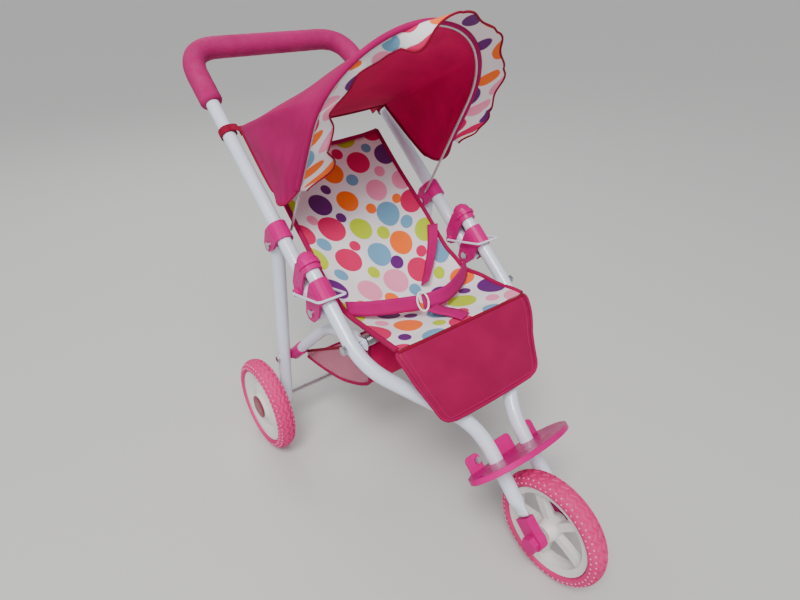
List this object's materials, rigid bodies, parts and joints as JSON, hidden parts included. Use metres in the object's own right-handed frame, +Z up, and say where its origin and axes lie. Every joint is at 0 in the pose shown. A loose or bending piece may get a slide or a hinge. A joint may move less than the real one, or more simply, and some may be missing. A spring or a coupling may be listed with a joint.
{
  "type": "doll stroller",
  "caption": "Three-wheeled folding doll stroller: bent tube frame, foam push handle, tilting fabric canopy on a wire hoop, sling seat with harness, calf panel, under-seat basket and foot plate",
  "frame": {"origin": "on the floor, under the middle of the overall length and width", "axes": "+Z up, +Y towards the person pushing, -X the pusher's right-hand side"},
  "size_m": [0.3668, 0.7068, 0.6255],
  "materials": {
    "white_paint": "gloss powder coat with a faint blue sheen",
    "pink_plastic": "gloss moulded",
    "steel": "plated",
    "pink_foam": "matt closed-cell foam",
    "tyre_foam": "matt foam with moulded tread",
    "white_plastic": "satin moulded",
    "crimson_plastic": "gloss moulded",
    "pink_cloth": "plain weave, crimson inside and at the bindings",
    "dotted_cloth": "plain weave printed with coloured dots",
    "mesh_cloth": "open mesh",
    "webbing": "ribbed webbing"
  },
  "bodies": {
    "front_frame": {"front_tube_right": "white_paint", "fork_end_right": "pink_plastic", "latch_cap_right": "pink_plastic", "fold_bracket_right": "pink_plastic", "fold_rivet_right": "steel", "link_bolt_right": "steel", "link_spring_right": "steel", "foot_plate_bolt_right": "steel", "axle_knob_right": "pink_plastic", "front_tube_left": "white_paint", "fork_end_left": "pink_plastic", "latch_cap_left": "pink_plastic", "fold_bracket_left": "pink_plastic", "fold_rivet_left": "steel", "link_bolt_left": "steel", "link_spring_left": "steel", "foot_plate_bolt_left": "steel", "axle_knob_left": "pink_plastic", "foot_plate": "pink_plastic", "front_axle": "steel", "seat_bar": "white_paint", "seat_base": "dotted_cloth", "calf_panel": "pink_cloth", "waist_strap_right": "webbing", "waist_strap_left": "webbing", "crotch_strap": "webbing", "buckle_ring": "white_plastic"},
    "handle_frame": {"handle_tube": "white_paint", "handle_grip": "pink_foam", "seat_back": "dotted_cloth", "leg_bracket_right": "pink_plastic", "leg_rivet_right": "steel", "leg_bracket_left": "pink_plastic", "leg_rivet_left": "steel"},
    "rear_legs": {"rear_leg_right": "white_paint", "leg_screw_right": "steel", "rear_leg_left": "white_paint", "leg_screw_left": "steel", "rear_axle": "steel"},
    "seat_link": {"link_right": "white_paint", "link_clip_right": "pink_plastic", "link_left": "white_paint", "link_clip_left": "pink_plastic", "basket": "mesh_cloth"},
    "canopy_frame": {"canopy_hoop": "steel", "canopy": "pink_cloth"},
    "bail_right_body": {"bail_right": "white_paint"},
    "bail_left_body": {"bail_left": "white_paint"},
    "front_wheel": {"front_rim": "white_plastic", "front_tyre": "tyre_foam"},
    "rear_wheel_right": {"rear_rim_right": "white_plastic", "rear_tyre_right": "tyre_foam", "hub_cap_right": "crimson_plastic"},
    "rear_wheel_left": {"rear_rim_left": "white_plastic", "rear_tyre_left": "tyre_foam", "hub_cap_left": "crimson_plastic"}
  },
  "joints": [
    {"name": "fold", "type": "hinge", "parent": "front_frame", "child": "handle_frame", "pos_m": [0, 0.0134, 0.301], "axis": [-1, 0, 0], "range_deg": [0, 110]},
    {"name": "leg_swing", "type": "hinge", "parent": "handle_frame", "child": "rear_legs", "pos_m": [0, 0.11427, 0.35848], "axis": [1, 0, 0], "range_deg": [0, 52]},
    {"name": "link_swing", "type": "hinge", "parent": "front_frame", "child": "seat_link", "pos_m": [0, -0.05624, 0.28083], "axis": [-1, 0, 0], "range_deg": [0, 75], "deforming": ["basket"]},
    {"name": "canopy_swing", "type": "hinge", "parent": "handle_frame", "child": "canopy_frame", "pos_m": [0, 0.09898, 0.38094], "axis": [-1, 0, 0], "range_deg": [-10, 60], "deforming": ["canopy"]},
    {"name": "bail_right_swing", "type": "hinge", "parent": "front_frame", "child": "bail_right_body", "pos_m": [-0.132, 0.04518, 0.3177], "axis": [-1, 0, 0], "range_deg": [0, 95]},
    {"name": "bail_left_swing", "type": "hinge", "parent": "front_frame", "child": "bail_left_body", "pos_m": [0.132, 0.04518, 0.3177], "axis": [-1, 0, 0], "range_deg": [0, 95]},
    {"name": "front_wheel_spin", "type": "hinge", "parent": "front_frame", "child": "front_wheel", "pos_m": [0, -0.2786, 0.07477], "axis": [1, 0, 0], "continuous": true},
    {"name": "rear_wheel_right_spin", "type": "hinge", "parent": "rear_legs", "child": "rear_wheel_right", "pos_m": [-0.167, 0.1554, 0.07477], "axis": [1, 0, 0], "continuous": true},
    {"name": "rear_wheel_left_spin", "type": "hinge", "parent": "rear_legs", "child": "rear_wheel_left", "pos_m": [0.167, 0.1554, 0.07477], "axis": [1, 0, 0], "continuous": true}
  ],
  "couplings": [
    {"joint": "leg_swing", "follows": "fold", "ratio": 0.471},
    {"joint": "link_swing", "follows": "fold", "ratio": 0.679}
  ]
}
